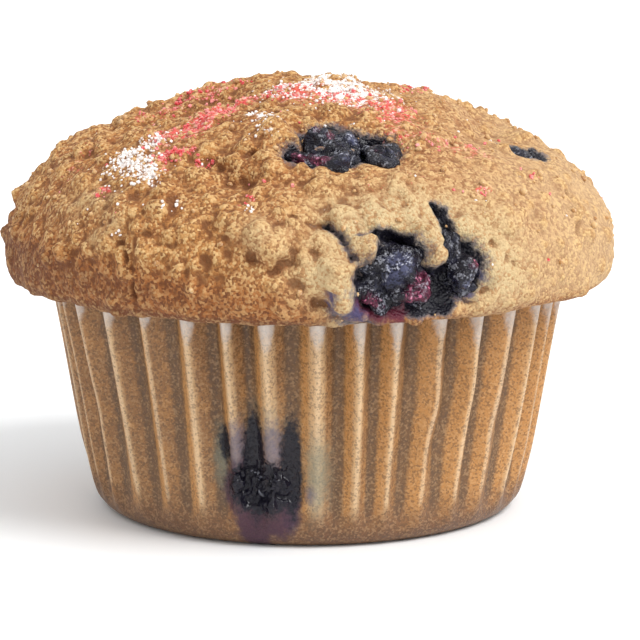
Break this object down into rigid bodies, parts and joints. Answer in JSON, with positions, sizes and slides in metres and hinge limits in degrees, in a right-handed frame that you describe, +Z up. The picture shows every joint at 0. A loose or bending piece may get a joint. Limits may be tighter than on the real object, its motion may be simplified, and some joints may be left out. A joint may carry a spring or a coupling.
{
  "type": "blueberry muffin",
  "caption": "Baked blueberry muffin with a wide cracked crown over a pleated paper liner, berries breaking through the crumb and coarse sugar on top.",
  "frame": {"origin": "centre of the paper liner's flat base, on the surface that the muffin stands on", "axes": "+Z up through the middle of the crown, -Y towards the front, where the large lip berry is just right of the middle"},
  "size_m": [0.075, 0.075, 0.0535],
  "materials": {
    "crumb": "golden-brown baked crumb, dry and grainy, browner along the lip",
    "paper": "greased baking paper, translucent brown with pale dry crests and a slight gloss",
    "berry": "wrinkled blue-black baked berry skin with bloom, red-purple where it has burst",
    "white_sugar": "white coarse sugar grains, lightly frosted",
    "red_sugar": "red and pink coarse sugar grains, lightly frosted"
  },
  "bodies": {
    "root": {"muffin_cake": "crumb", "paper_liner": "paper", "crown_berry_large": "berry", "crown_berry_small": "berry", "lip_berry_large": "berry", "lip_berry_small": "berry", "shoulder_berry": "berry", "back_crown_berry": "berry", "back_lip_berry": "berry", "wall_berry_front": "berry", "wall_berry_right": "berry", "wall_berry_left": "berry", "white_sugar_clump_1": "white_sugar", "white_sugar_clump_2": "white_sugar", "white_sugar_clump_3": "white_sugar", "white_sugar_clump_4": "white_sugar", "red_sugar_clump_1": "red_sugar", "red_sugar_clump_2": "red_sugar", "red_sugar_clump_3": "red_sugar", "red_sugar_clump_4": "red_sugar", "red_sugar_clump_5": "red_sugar"}
  },
  "joints": []
}
